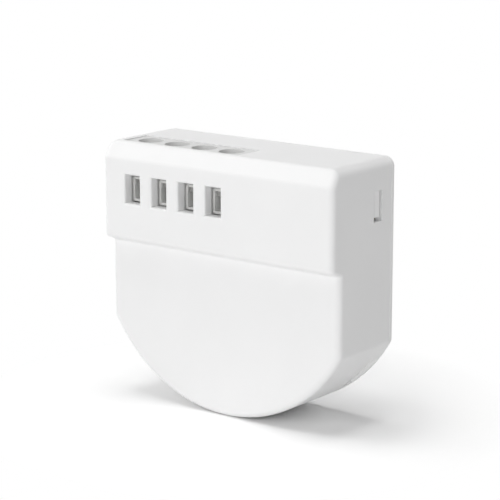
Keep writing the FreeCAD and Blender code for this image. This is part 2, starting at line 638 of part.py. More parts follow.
def relay_cover():
    outer = box(RELAY_LEFT, RELAY_RIGHT, above_board(RELAY_HEIGHT), BOARD_FRONT, RELAY_LOW, RELAY_HIGH)
    inner_front = above_board(RELAY_HEIGHT - RELAY_WALL)
    inner = box(RELAY_LEFT + RELAY_WALL, RELAY_RIGHT - RELAY_WALL, inner_front, BACK,
                RELAY_LOW + RELAY_WALL, RELAY_HIGH - RELAY_WALL)
    return outer.cut(inner)


def relay_pins():
    """Centre and size across of each relay pin that goes through its base and the board."""
    left = BOBBIN_LEFT + FLANGE_THICKNESS / 2
    half = COIL_PIN_SPREAD / 2
    coil = [(left, RELAY_MID - half, RELAY_PIN, RELAY_PIN), (left, RELAY_MID + half, RELAY_PIN, RELAY_PIN)]
    yoke = (YOKE_LEFT + IRON_THICKNESS / 2, RELAY_MID, IRON_THICKNESS, 2 * RELAY_PIN)
    post = (POST_RIGHT - POST_THICKNESS / 2, RELAY_MID, POST_THICKNESS, 2 * RELAY_PIN)
    return coil + [yoke, post]


def relay_base():
    base_front = above_board(RELAY_BASE_THICKNESS)
    base = box(RELAY_LEFT + RELAY_WALL, RELAY_RIGHT - RELAY_WALL, base_front, BOARD_FRONT,
               RELAY_LOW + RELAY_WALL, RELAY_HIGH - RELAY_WALL)
    for x, z, across, up in relay_pins():
        base = base.cut(on_board(x, z, across + 2 * PIN_PLAY, up + 2 * PIN_PLAY, -WALL, RELAY_HEIGHT))
    return base


def relay_coil_pins():
    """Two square pins that stand a little proud of the base, where the coil's wire ends are wound on."""
    high = RELAY_BASE_THICKNESS + RELAY_PIN
    coil_pins = relay_pins()[:2]
    return Part.makeCompound([on_board(*pin, TAIL_LOW, high) for pin in coil_pins])


def relay_yoke():
    top_low = YOKE_TOP - IRON_THICKNESS
    across = POLE_FACE - YOKE_LEFT
    top = on_board(YOKE_LEFT + across / 2, RELAY_MID, across, YOKE_WIDTH, top_low, YOKE_TOP)
    middle = YOKE_LEFT + IRON_THICKNESS / 2
    leg = on_board(middle, RELAY_MID, IRON_THICKNESS, YOKE_WIDTH, RELAY_BASE_THICKNESS, YOKE_TOP)
    pin = on_board(middle, RELAY_MID, IRON_THICKNESS, 2 * RELAY_PIN, TAIL_LOW, RELAY_BASE_THICKNESS)
    rivet_hole = rod(YOKE_LEFT, above_board(COIL_AXIS), RELAY_MID, CORE_RADIUS, IRON_THICKNESS, (1, 0, 0))
    return top.fuse([leg, pin]).removeSplitter().cut(rivet_hole)


def coil_tube(radius, start, end):
    return rod(start, above_board(COIL_AXIS), RELAY_MID, radius, end - start, (1, 0, 0))


def relay_core():
    head = coil_tube(POLE_RADIUS, BOBBIN_RIGHT, POLE_FACE)
    return coil_tube(CORE_RADIUS, YOKE_LEFT, BOBBIN_RIGHT).fuse(head).removeSplitter()


def relay_bobbin():
    top = YOKE_TOP - IRON_THICKNESS
    flanges = [
        on_board(x, RELAY_MID, FLANGE_THICKNESS, FLANGE_WIDTH, RELAY_BASE_THICKNESS, top)
        for x in (BOBBIN_LEFT + FLANGE_THICKNESS / 2, BOBBIN_RIGHT - FLANGE_THICKNESS / 2)
    ]
    tube = coil_tube(CORE_RADIUS + BOBBIN_WALL, BOBBIN_LEFT, BOBBIN_RIGHT)
    return tube.fuse(flanges).removeSplitter().cut(coil_tube(CORE_RADIUS, BOBBIN_LEFT, BOBBIN_RIGHT))


def relay_coil():
    start = BOBBIN_LEFT + FLANGE_THICKNESS
    end = BOBBIN_RIGHT - FLANGE_THICKNESS
    return coil_tube(COIL_RADIUS, start, end).cut(coil_tube(CORE_RADIUS + BOBBIN_WALL, start, end))


def swung_open(shape):
    """Turns a piece of the armature from its pulled-in place to its place at rest."""
    turned = shape.copy()
    turned.rotate(V(ARMATURE_LEFT, above_board(PIVOT_HEIGHT), RELAY_MID), V(0, 0, 1), -ARMATURE_ANGLE)
    return turned


def relay_armature():
    middle = ARMATURE_LEFT + IRON_THICKNESS / 2
    high = PIVOT_HEIGHT + ARMATURE_ABOVE_PIVOT
    return swung_open(on_board(middle, RELAY_MID, IRON_THICKNESS, YOKE_WIDTH, ARMATURE_LOW, high))


def relay_moving_contact():
    back = ARMATURE_LEFT + IRON_THICKNESS
    middle = back + BLADE_THICKNESS / 2
    blade = on_board(middle, RELAY_MID, BLADE_THICKNESS, BLADE_WIDTH, BLADE_LOW, BLADE_HIGH)
    button = rod(back - CONTACT_THICKNESS, above_board(CONTACT_HEIGHT), RELAY_MID, CONTACT_RADIUS,
                 CONTACT_THICKNESS, (1, 0, 0))
    return swung_open(blade.fuse(button).removeSplitter())


def relay_fixed_contact():
    middle = POST_RIGHT - POST_THICKNESS / 2
    high = CONTACT_HEIGHT + CONTACT_RADIUS
    post = on_board(middle, RELAY_MID, POST_THICKNESS, POST_WIDTH, RELAY_BASE_THICKNESS, high)
    pin = on_board(middle, RELAY_MID, POST_THICKNESS, 2 * RELAY_PIN, TAIL_LOW, RELAY_BASE_THICKNESS)
    button = rod(POST_RIGHT, above_board(CONTACT_HEIGHT), RELAY_MID, CONTACT_RADIUS, CONTACT_THICKNESS,
                 (1, 0, 0))
    return post.fuse([pin, button]).removeSplitter()


def relay_return_spring():
    """A leaf on the yoke's back that hooks over its end and presses the armature open."""
    outer = ARMATURE_LEFT + IRON_THICKNESS + SPRING_PLAY + SPRING_THICKNESS
    start = POLE_FACE - SPRING_LENGTH
    high = YOKE_TOP + SPRING_THICKNESS
    leaf = on_board((start + outer) / 2, RELAY_MID, outer - start, SPRING_WIDTH, YOKE_TOP, high)
    tail = on_board(outer - SPRING_THICKNESS / 2, RELAY_MID, SPRING_THICKNESS, SPRING_WIDTH,
                    YOKE_TOP - SPRING_TAIL, high)
    return leaf.fuse(tail).removeSplitter()


def leads(x, z, apart, across=True):
    """The places of a part's two leads, side by side or one above the other."""
    half = apart / 2
    if across:
        return [(x - half, z), (x + half, z)]
    return [(x, z - half), (x, z + half)]


def all_leads():
    places = []
    for x, z in CAPACITOR_PLACES:
        places += leads(x, z, CAPACITOR_LEAD_SPREAD)
    places += leads(*SMALL_CAPACITOR_PLACE, SMALL_CAPACITOR_LEAD_SPREAD)
    places += leads(*CHOKE_PLACE, CHOKE_LEAD_SPREAD)
    places += leads(*VARISTOR_PLACE, VARISTOR_LEAD_SPREAD, across=False)
    places += leads(*FUSE_PLACE, FUSE_LEAD_SPREAD)
    places += leads(*FILM_PLACE, FILM_LEAD_SPREAD)
    return places


def main_board():
    board = outline(WALL + BOARD_EDGE_PLAY, BOARD_FRONT, BOARD_REAR)
    notch_in = ARM_IN - BOARD_SNAP_PLAY
    low = ARM_LOW - BOARD_SNAP_PLAY
    high = ARM_HIGH + BOARD_SNAP_PLAY
    tools = [box(notch_in, WIDTH, FRONT, BACK, low, high), box(-WIDTH, -notch_in, FRONT, BACK, low, high)]
    for x, z in all_leads():
        tools.append(rod(x, FRONT, z, LEAD_RADIUS + PIN_PLAY, DEPTH, (0, 1, 0)))
    for x, z, across, up in relay_pins():
        tools.append(on_board(x, z, across + 2 * PIN_PLAY, up + 2 * PIN_PLAY, -DEPTH, DEPTH))
    bar_middle = (BAR_LOW + BAR_HIGH) / 2
    slot_width = BAR_PIN_WIDTH + 2 * PIN_PLAY
    for x in POLE_X:
        tools.append(on_board(x, bar_middle, slot_width, BAR_THICKNESS + 2 * PIN_PLAY, -DEPTH, DEPTH))
    return board.cut(Part.makeCompound(tools))


def with_leads(shape, places, high=0.0):
    """A part with its wires, which run from this height above the board to their tips behind it."""
    wires = [board_rod(x, z, LEAD_RADIUS, TAIL_LOW, high) for x, z in places]
    return shape.fuse(wires).removeSplitter()


def can_capacitor(place, radius, height, lead_spread):
    """A round can with the rolled groove above its seal."""
    x, z = place
    can = board_rod(x, z, radius, 0, height)
    can = can.makeFillet(CAN_GROOVE, edges_where(can, lambda p: near(p.y, above_board(height))))
    groove = Part.makeTorus(radius, CAN_GROOVE, V(x, above_board(CAN_GROOVE_HEIGHT), z), V(0, 1, 0))
    return with_leads(can.cut(groove), leads(x, z, lead_spread))


def output_capacitor():
    sizes = (SMALL_CAPACITOR_RADIUS, SMALL_CAPACITOR_HEIGHT, SMALL_CAPACITOR_LEAD_SPREAD)
    return can_capacitor(SMALL_CAPACITOR_PLACE, *sizes)


def bulk_capacitor(place):
    return can_capacitor(place, CAPACITOR_RADIUS, CAPACITOR_HEIGHT, CAPACITOR_LEAD_SPREAD)


def choke_core():
    x, z = CHOKE_PLACE
    low = board_rod(x, z, CHOKE_RADIUS, 0, CHOKE_FLANGE)
    middle = board_rod(x, z, CHOKE_CORE_RADIUS, 0, CHOKE_HEIGHT)
    high = board_rod(x, z, CHOKE_RADIUS, CHOKE_HEIGHT - CHOKE_FLANGE, CHOKE_HEIGHT)
    return with_leads(low.fuse([middle, high]).removeSplitter(), leads(x, z, CHOKE_LEAD_SPREAD))


def choke_winding():
    x, z = CHOKE_PLACE
    low = CHOKE_FLANGE
    high = CHOKE_HEIGHT - CHOKE_FLANGE
    return board_rod(x, z, CHOKE_WINDING_RADIUS, low, high).cut(board_rod(x, z, CHOKE_CORE_RADIUS, low, high))


def varistor():
    """A coated disc standing on edge."""
    x, z = VARISTOR_PLACE
    middle = VARISTOR_STAND + VARISTOR_RADIUS
    left = x - VARISTOR_THICKNESS / 2
    disc = rod(left, above_board(middle), z, VARISTOR_RADIUS, VARISTOR_THICKNESS, (1, 0, 0))
    disc = disc.makeFillet(VARISTOR_THICKNESS / 4, disc.Edges)
    return with_leads(disc, leads(x, z, VARISTOR_LEAD_SPREAD, across=False), middle)


def bent_wire(places, high):
    """One wire through two board holes: up, round a quarter turn, across and down again."""
    (x0, z), (x1, _) = places
    top = above_board(high)
    bend = LEAD_BEND
    diagonal = bend * (1 - math.sqrt(0.5))
    path = Part.Wire([
        Part.LineSegment(V(x0, PIN_TIP, z), V(x0, top + bend, z)).toShape(),
        Part.Arc(V(x0, top + bend, z), V(x0 + diagonal, top + diagonal, z), V(x0 + bend, top, z)).toShape(),
        Part.LineSegment(V(x0 + bend, top, z), V(x1 - bend, top, z)).toShape(),
        Part.Arc(V(x1 - bend, top, z), V(x1 - diagonal, top + diagonal, z), V(x1, top + bend, z)).toShape(),
        Part.LineSegment(V(x1, top + bend, z), V(x1, PIN_TIP, z)).toShape(),
    ])
    section = Part.Wire([Part.makeCircle(LEAD_RADIUS, V(x0, PIN_TIP, z), V(0, 1, 0))])
    return path.makePipeShell([section], True, False)


def fusible_resistor():
    """A round body lying on the board on its bent wire."""
    x, z = FUSE_PLACE
    body = rod(x - FUSE_LENGTH / 2, above_board(FUSE_RADIUS), z, FUSE_RADIUS, FUSE_LENGTH, (1, 0, 0))
    body = body.makeFillet(FUSE_RADIUS / 4, body.Edges)
    return body.fuse(bent_wire(leads(x, z, FUSE_LEAD_SPREAD), FUSE_RADIUS)).removeSplitter()


def film_capacitor():
    x, z = FILM_PLACE
    body = on_board(x, z, FILM_WIDTH, FILM_HEIGHT, 0, PLATE_ROOM - FILM_FRONT_PLAY)
    return with_leads(body, leads(x, z, FILM_LEAD_SPREAD))


def legged_chip(x, z, sizes, legs):
    """A moulded flat part with its metal legs on both sides; legs is the number on each side."""
    width, height, thickness = sizes
    body = on_board(x, z, width, height - 2 * LEG_LENGTH, LEG_THICKNESS / 2, thickness)
    feet = []
    for i in range(legs):
        foot_x = x + (i - (legs - 1) / 2) * width / legs
        for side in (-1, 1):
            foot_z = z + side * (height / 2 - LEG_LENGTH)
            feet.append(on_board(foot_x, foot_z, LEG_WIDTH, 2 * LEG_LENGTH, 0, LEG_THICKNESS))
    return body.fuse(feet).removeSplitter()


def chips(places, thickness):
    """Small two-ended chips, each a plain block."""
    width, height = CHIP_SIZE
    return Part.makeCompound([on_board(x, z, width, height, 0, thickness) for x, z in places])


def radio_board():
    middle = RADIO_LOW + RADIO_HEIGHT / 2
    board = on_board(0, middle, RADIO_WIDTH, RADIO_HEIGHT, 0, RADIO_THICKNESS)
    notches = []
    count = round((RADIO_HEIGHT - ANTENNA_STRIP) / (3 * LEG_WIDTH))
    for i in range(count):
        z = RADIO_LOW + ANTENNA_STRIP + (i + 0.5) * (RADIO_HEIGHT - ANTENNA_STRIP) / count
        for side in (-1, 1):
            notches.append(rod(side * RADIO_WIDTH / 2, FRONT, z, LEG_WIDTH / 2, DEPTH, (0, 1, 0)))
    return board.cut(Part.makeCompound(notches))


def radio_antenna():
    """A flat copper track that winds to and fro on the free strip of the radio board."""
    left = -RADIO_WIDTH / 2 + SHIELD_MARGIN
    run = RADIO_WIDTH - 2 * SHIELD_MARGIN
    low = RADIO_LOW + ANTENNA_WIDTH
    high = RADIO_LOW + ANTENNA_STRIP - ANTENNA_WIDTH
    step = (run - ANTENNA_WIDTH) / (2 * ANTENNA_TURNS)
    bars = []
    for i in range(2 * ANTENNA_TURNS + 1):
        x = left + ANTENNA_WIDTH / 2 + i * step
        bars.append(on_board(x, (low + high) / 2, ANTENNA_WIDTH, high - low, RADIO_THICKNESS,
                             RADIO_THICKNESS + ANTENNA_THICKNESS))
        if i:
            link_z = high - ANTENNA_WIDTH / 2 if i % 2 else low + ANTENNA_WIDTH / 2
            bars.append(on_board(x - step / 2, link_z, step, ANTENNA_WIDTH, RADIO_THICKNESS,
                                 RADIO_THICKNESS + ANTENNA_THICKNESS))
    return bars[0].fuse(bars[1:]).removeSplitter()


def shield_place():
    low = RADIO_LOW + ANTENNA_STRIP
    high = RADIO_LOW + RADIO_HEIGHT - SHIELD_MARGIN
    return (low + high) / 2, RADIO_WIDTH - 2 * SHIELD_MARGIN, high - low


def radio_shield():
    z, width, height = shield_place()
    top = RADIO_THICKNESS + SHIELD_THICKNESS
    can = on_board(0, z, width, height, RADIO_THICKNESS, top)
    can = can.makeFillet(SHIELD_WALL, edges_where(can, lambda p: near(p.y, above_board(top))))
    walls = 2 * SHIELD_WALL
    return can.cut(on_board(0, z, width - walls, height - walls, RADIO_THICKNESS - WALL, top - SHIELD_WALL))


def radio_chip():
    z, width, height = shield_place()
    side, thickness = RADIO_CHIP
    x = SHIELD_MARGIN + (side - width) / 2
    return on_board(x, z, side, side, RADIO_THICKNESS, RADIO_THICKNESS + thickness)


def crystal():
    z, width, height = shield_place()
    across, up, thickness = CRYSTAL
    x = (width - across) / 2 - SHIELD_MARGIN
    return on_board(x, z, across, up, RADIO_THICKNESS, RADIO_THICKNESS + thickness)


def make_parts():
    parts = {
        "front_housing": front_housing(),
        "rear_cover": rear_cover(),
        "insulation_sheet": insulation_sheet(),
        "terminal_body": terminal_body(),
        "main_board": main_board(),
        "relay_cover": relay_cover(),
        "relay_base": relay_base(),
        "relay_coil_pins": relay_coil_pins(),
        "relay_yoke": relay_yoke(),
        "relay_core": relay_core(),
        "relay_bobbin": relay_bobbin(),
        "relay_coil": relay_coil(),
        "relay_armature": relay_armature(),
        "relay_moving_contact": relay_moving_contact(),
        "relay_fixed_contact": relay_fixed_contact(),
        "relay_return_spring": relay_return_spring(),
        "output_capacitor": output_capacitor(),
        "choke_core": choke_core(),
        "choke_winding": choke_winding(),
        "varistor": varistor(),
        "fusible_resistor": fusible_resistor(),
        "film_capacitor": film_capacitor(),
        "bridge_rectifier": legged_chip(RECTIFIER_X, SUPPLY_CHIP_Z, RECTIFIER, RECTIFIER_LEGS),
        "supply_chip": legged_chip(SUPPLY_CHIP_X, SUPPLY_CHIP_Z, SUPPLY_CHIP, SUPPLY_CHIP_LEGS),
        "voltage_regulator": legged_chip(REGULATOR_X, REGULATOR_Z, REGULATOR, REGULATOR_LEGS),
        "optocoupler": legged_chip(OPTOCOUPLER_X, REGULATOR_Z, OPTOCOUPLER, OPTOCOUPLER_LEGS),
        "relay_transistor": legged_chip(TRANSISTOR_X, DIODE_Z, TRANSISTOR, TRANSISTOR_LEGS),
        "coil_diode": legged_chip(DIODE_X, DIODE_Z, DIODE, DIODE_LEGS),
        "chip_resistors": chips(CHIP_RESISTORS, RESISTOR_THICKNESS),
        "chip_capacitors": chips(CHIP_CAPACITORS, CAPACITOR_CHIP_THICKNESS),
        "radio_board": radio_board(),
        "radio_antenna": radio_antenna(),
        "radio_shield": radio_shield(),
        "radio_chip": radio_chip(),
        "crystal": crystal(),
    }
    for i, x in enumerate(POLE_X, 1):
        parts[f"clamp_screw_{i}"] = clamp_screw(x)
        parts[f"clamp_cage_{i}"] = clamp_cage(x)
        parts[f"current_bar_{i}"] = current_bar(x)
    for i, place in enumerate(CAPACITOR_PLACES, 1):
        parts[f"bulk_capacitor_{i}"] = bulk_capacitor(place)
    return parts


os.makedirs("parts", exist_ok=True)
for name, shape in make_parts().items():
    shape.exportStep(f"parts/{name}.step")
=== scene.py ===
"""Looks of an in-wall smart switch module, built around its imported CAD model.

Every new piece and every material works in metres, in the same frame as the model:
+X to the right seen from the wire entries, +Y to the rear cover, +Z up to the screw holes.
"""

import json
import math

import bpy
import numpy as np
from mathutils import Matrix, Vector


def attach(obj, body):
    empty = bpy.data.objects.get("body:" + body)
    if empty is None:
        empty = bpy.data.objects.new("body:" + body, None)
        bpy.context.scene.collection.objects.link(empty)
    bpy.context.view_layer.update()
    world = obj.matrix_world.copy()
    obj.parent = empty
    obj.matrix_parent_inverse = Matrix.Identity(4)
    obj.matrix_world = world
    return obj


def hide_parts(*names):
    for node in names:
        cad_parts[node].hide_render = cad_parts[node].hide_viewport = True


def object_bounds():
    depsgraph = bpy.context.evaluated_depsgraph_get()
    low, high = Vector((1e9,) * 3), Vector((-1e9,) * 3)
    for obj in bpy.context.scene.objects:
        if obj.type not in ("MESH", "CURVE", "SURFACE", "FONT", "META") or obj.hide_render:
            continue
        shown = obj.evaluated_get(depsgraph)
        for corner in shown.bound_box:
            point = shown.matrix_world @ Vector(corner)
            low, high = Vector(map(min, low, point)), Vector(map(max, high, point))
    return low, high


bl_info = {
    "name": "Smart Switch Module",
    "version": (1, 0, 0),
    "blender": (4, 5, 0),
    "location": "3D Viewport > Sidebar > Switch Module",
    "description": "Dresses the casing, clamps, relay and circuit board of an in-wall switch module",
    "category": "Object",
}

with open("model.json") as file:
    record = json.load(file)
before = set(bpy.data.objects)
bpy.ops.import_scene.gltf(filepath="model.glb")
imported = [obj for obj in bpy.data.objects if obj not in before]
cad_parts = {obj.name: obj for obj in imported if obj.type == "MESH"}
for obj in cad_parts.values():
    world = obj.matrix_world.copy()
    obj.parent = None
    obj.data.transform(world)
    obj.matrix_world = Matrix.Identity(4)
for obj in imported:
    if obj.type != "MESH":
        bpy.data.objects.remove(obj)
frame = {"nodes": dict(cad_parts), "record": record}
CAD_LOW, CAD_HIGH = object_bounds()

MM = 0.001
# Lamps of the stage: name, turn from the front to the right in degrees, height in degrees,
# side in metres, share of the power
LAMPS = (
    ("front_right", 38.0, 13.0, 0.25, 0.164),
    ("front", 0.0, 20.0, 0.45, 0.195),
    ("left", -80.0, 20.0, 0.45, 0.202),
    ("upper_left", -40.0, 65.0, 0.45, 0.077),
    ("above", 0.0, 89.0, 0.45, 0.285),
    ("behind", 160.0, 30.0, 0.45, 0.069),
)
# Metals of the terminals, whose tones leave the record's slot colours: colour, roughness, metallic
TERMINAL_METALS = {
    "screw_steel": ((0.56, 0.56, 0.55, 1.0), 0.5, 0.3),
    # The clamp cage is pale and nearly non-metal: partly a satin plating's own tone, partly painted light
    # on the shaded insides of the wire entries.
    "cage_steel": ((0.79, 0.79, 0.775, 1.0), 0.55, 0.1),
    # The current bar is a dark grey in place of its tin: painted shade for the shadow it lies in.
    "bar_brass": ((0.36, 0.36, 0.35, 1.0), 0.5, 0.6),
}
FLOOR_HALF = 3.0
FLOOR_COLOUR = (0.93, 0.93, 0.93, 1.0)
WHITE_REACHED = 1.6
SUBPART_SLOTS = {part["node"]: part["material_slot"] for part in frame["record"]["subparts"]}


# Shared helpers for node trees

def add_node(tree, kind, links=None, **settings):
    """Add one node, set its properties and its input values, and link what is given as a socket."""
    node = tree.nodes.new(kind)
    for name, value in settings.items():
        setattr(node, name, value)
    for name, value in (links or {}).items():
        if isinstance(value, bpy.types.NodeSocket):
            tree.links.new(value, node.inputs[name])
        else:
            node.inputs[name].default_value = value
    return node


def noise(tree, vector, scale, detail=2.0, roughness=0.5):
    """Soft noise from 0 to 1, with scale in features a metre."""
    links = {"Vector": vector, "Scale": scale, "Detail": detail, "Roughness": roughness}
    return add_node(tree, "ShaderNodeTexNoise", links).outputs["Fac"]


def remap(tree, value, low, high, to_low, to_high):
    """Map the range low..high to to_low..to_high and hold the ends."""
    links = {"Value": value, "From Min": low, "From Max": high, "To Min": to_low, "To Max": to_high}
    return add_node(tree, "ShaderNodeMapRange", links).outputs["Result"]


def maths(tree, operation, first, second=0.0, third=0.0):
    """One step of arithmetic on values or sockets."""
    links = {0: first, 1: second, 2: third}
    return add_node(tree, "ShaderNodeMath", links, operation=operation).outputs["Value"]


def mix_colour(tree, factor, first, second):
    """Blend two colours by factor."""
    links = {"Factor": factor, 6: first, 7: second}
    return add_node(tree, "ShaderNodeMix", links, data_type="RGBA").outputs[2]


def start_group(name, inputs, outputs):
    """An empty shader group with float inputs as (name, default) and outputs as (name, socket type)."""
    group = bpy.data.node_groups.new(name, "ShaderNodeTree")
    for label, default in inputs:
        kind = "NodeSocketVector" if default is None else "NodeSocketFloat"
        socket = group.interface.new_socket(name=label, in_out="INPUT", socket_type=kind)
        if default is not None:
            socket.default_value = default
    for label, kind in outputs:
        group.interface.new_socket(name=label, in_out="OUTPUT", socket_type=kind)
    entry = group.nodes.new("NodeGroupInput")
    leave = group.nodes.new("NodeGroupOutput")
    return group, entry, leave


def moulded_grain_group():
    """Fine spark-eroded grain of a mould: a height for a Bump node and a mask of its high spots."""
    inputs = [("Vector", None), ("Grain Size", 0.16), ("Flow", 0.5)]
    outputs = [("Height", "NodeSocketFloat"), ("Mask", "NodeSocketFloat")]
    group, entry, leave = start_group("Moulded Grain", inputs, outputs)
    per_metre = maths(group, "DIVIDE", 1000.0, entry.outputs["Grain Size"])
    fine = noise(group, entry.outputs["Vector"], per_metre, 3.0, 0.62)
    broad_scale = maths(group, "DIVIDE", per_metre, 22.0)
    broad = noise(group, entry.outputs["Vector"], broad_scale, 2.0, 0.5)
    share = maths(group, "MULTIPLY", broad, entry.outputs["Flow"])
    height = maths(group, "MULTIPLY_ADD", fine, 0.8, share)
    group.links.new(height, leave.inputs["Height"])
    group.links.new(remap(group, fine, 0.35, 0.7, 0.0, 1.0), leave.inputs["Mask"])
    return group


def tone_drift_group():
    """Slow change of tone over a part: a mask from 0 to 1 with the given size in millimetres."""
    inputs = [("Vector", None), ("Patch Size", 9.0), ("Contrast", 0.5)]
    group, entry, leave = start_group("Tone Drift", inputs, [("Mask", "NodeSocketFloat")])
    per_metre = maths(group, "DIVIDE", 1000.0, entry.outputs["Patch Size"])
    cloud = noise(group, entry.outputs["Vector"], per_metre, 2.0, 0.45)
    spread = maths(group, "SUBTRACT", cloud, 0.5)
    mask = maths(group, "MULTIPLY_ADD", spread, entry.outputs["Contrast"], 0.5)
    group.links.new(mask, leave.inputs["Mask"])
    return group


def edge_wear_and_sheen_group():
    """A mask of edges, for painted highlights and for edge wear: compares the rounded normal with the
    face's own, broken up by noise.
    """
    inputs = [("Vector", None), ("Edge Width", 0.12), ("Amount", 0.5)]
    outputs = [("Mask", "NodeSocketFloat"), ("Normal", "NodeSocketVector")]
    group, entry, leave = start_group("Edge Wear And Sheen", inputs, outputs)
    radius = maths(group, "MULTIPLY", entry.outputs["Edge Width"], MM)
    rounded = add_node(group, "ShaderNodeBevel", {"Radius": radius}, samples=4).outputs["Normal"]
    flat = add_node(group, "ShaderNodeNewGeometry").outputs["Normal"]
    same = add_node(group, "ShaderNodeVectorMath", {0: rounded, 1: flat}, operation="DOT_PRODUCT")
    edge = remap(group, same.outputs["Value"], 0.985, 0.86, 0.0, 1.0)
    patchy = remap(group, noise(group, entry.outputs["Vector"], 900.0, 3.0), 0.38, 0.62, 0.25, 1.0)
    edge_wear_and_sheen = maths(group, "MULTIPLY", maths(group, "MULTIPLY", edge, patchy), entry.outputs["Amount"])
    group.links.new(edge_wear_and_sheen, leave.inputs["Mask"])
    group.links.new(rounded, leave.inputs["Normal"])
    return group


def brushed_group():
    """Fine lines of drawn or rolled metal along one axis: a height and a mask."""
    inputs = [("Vector", None), ("Line Width", 0.05), ("Stretch", 30.0)]
    outputs = [("Height", "NodeSocketFloat"), ("Mask", "NodeSocketFloat")]
    group, entry, leave = start_group("Rolled Lines", inputs, outputs)
    along = maths(group, "DIVIDE", 1.0, entry.outputs["Stretch"])
    parts = add_node(group, "ShaderNodeSeparateXYZ", {"Vector": entry.outputs["Vector"]})
    drawn = maths(group, "MULTIPLY", parts.outputs["Z"], along)
    links = {"X": parts.outputs["X"], "Y": parts.outputs["Y"], "Z": drawn}
    joined = add_node(group, "ShaderNodeCombineXYZ", links)
    per_metre = maths(group, "DIVIDE", 1000.0, entry.outputs["Line Width"])
    lines = noise(group, joined.outputs["Vector"], per_metre, 2.0, 0.6)
    group.links.new(lines, leave.inputs["Height"])
    group.links.new(remap(group, lines, 0.3, 0.7, 0.0, 1.0), leave.inputs["Mask"])
    return group


def group_named(name):
    """The shared group of that name, built the first time it is asked for."""
    makers = {
        "Moulded Grain": moulded_grain_group,
        "Tone Drift": tone_drift_group,
        "Edge Wear And Sheen": edge_wear_and_sheen_group,
        "Rolled Lines": brushed_group,
    }
    return bpy.data.node_groups.get(name) or makers[name]()


def place_group(tree, name, vector, **values):
    """Put a shared group into a material with its own values."""
    node = tree.nodes.new("ShaderNodeGroup")
    node.node_tree = group_named(name)
    tree.links.new(vector, node.inputs["Vector"])
    for label, value in values.items():
        node.inputs[label.replace("_", " ")].default_value = value
    return node


def start_material(name):
    """A material with a Principled shader, its output and the piece's own coordinates."""
    material = bpy.data.materials.new(name)
    material.use_nodes = True
    tree = material.node_tree
    tree.nodes.clear()
    shader = tree.nodes.new("ShaderNodeBsdfPrincipled")
    output = tree.nodes.new("ShaderNodeOutputMaterial")
    tree.links.new(shader.outputs["BSDF"], output.inputs["Surface"])
    place = tree.nodes.new("ShaderNodeTexCoord").outputs["Object"]
    return material, tree, shader, place


def shade(colour, factor):
    """The colour scaled by a factor, with full alpha."""
    return tuple(min(1.0, channel * factor) for channel in colour[:3]) + (1.0,)


def bump_to(tree, shader, height, depth, normal=None):
    """Raise the surface by height times depth, in metres."""
    links = {"Strength": 1.0, "Distance": depth, "Height": height}
    if normal is not None:
        links["Normal"] = normal
    bump = add_node(tree, "ShaderNodeBump", links)
    tree.links.new(bump.outputs["Normal"], shader.inputs["Normal"])


# Materials

def moulded_plastic(name, colour, roughness, grain, depth, edge=0.12, drift=0.02):
    """Moulded plastic with spark-eroded grain, a slow drift of tone, and edges softened by a bevelled
    normal and lightened in colour as a painted highlight.
    """
    material, tree, shader, place = start_material(name)
    tone = place_group(tree, "Tone Drift", place, Patch_Size=11.0, Contrast=1.2)
    grained = place_group(tree, "Moulded Grain", place, Grain_Size=grain, Flow=0.25)
    edge_wear_and_sheen = place_group(tree, "Edge Wear And Sheen", place, Edge_Width=edge, Amount=0.6)
    base = mix_colour(tree, tone.outputs["Mask"], shade(colour, 1.0 - drift), shade(colour, 1.0 + drift))
    # Edges lightened in colour: a painted highlight.
    lit = mix_colour(tree, edge_wear_and_sheen.outputs["Mask"], base, shade(colour, 1.0 + 1.5 * drift))
    tree.links.new(lit, shader.inputs["Base Color"])
    rough = remap(tree, grained.outputs["Mask"], 0.0, 1.0, roughness + 0.06, roughness - 0.05)
    rubbed = maths(tree, "MULTIPLY_ADD", edge_wear_and_sheen.outputs["Mask"], -0.1, rough)
    tree.links.new(rubbed, shader.inputs["Roughness"])
    shader.inputs["IOR"].default_value = 1.5
    bump_to(tree, shader, grained.outputs["Height"], depth, edge_wear_and_sheen.outputs["Normal"])
    return material


def plated_metal(name, colour, roughness, line=0.05, tarnish=0.12, metallic=1.0):
    """Plated or rolled metal with fine lines, a slight tarnish in patches and bright edges."""
    material, tree, shader, place = start_material(name)
    lines = place_group(tree, "Rolled Lines", place, Line_Width=line, Stretch=14.0)
    tone = place_group(tree, "Tone Drift", place, Patch_Size=1.6, Contrast=2.0)
    edge_wear_and_sheen = place_group(tree, "Edge Wear And Sheen", place, Edge_Width=0.08, Amount=0.8)
    base = mix_colour(tree, tone.outputs["Mask"], shade(colour, 1.0 - tarnish), shade(colour, 1.0))
    lit = mix_colour(tree, edge_wear_and_sheen.outputs["Mask"], base, shade(colour, 1.12))
    tree.links.new(lit, shader.inputs["Base Color"])
    shader.inputs["Metallic"].default_value = metallic
    rough = remap(tree, lines.outputs["Mask"], 0.0, 1.0, roughness + 0.08, roughness - 0.08)
    tree.links.new(rough, shader.inputs["Roughness"])
    bump_to(tree, shader, lines.outputs["Height"], 0.004 * MM, edge_wear_and_sheen.outputs["Normal"])
    return material


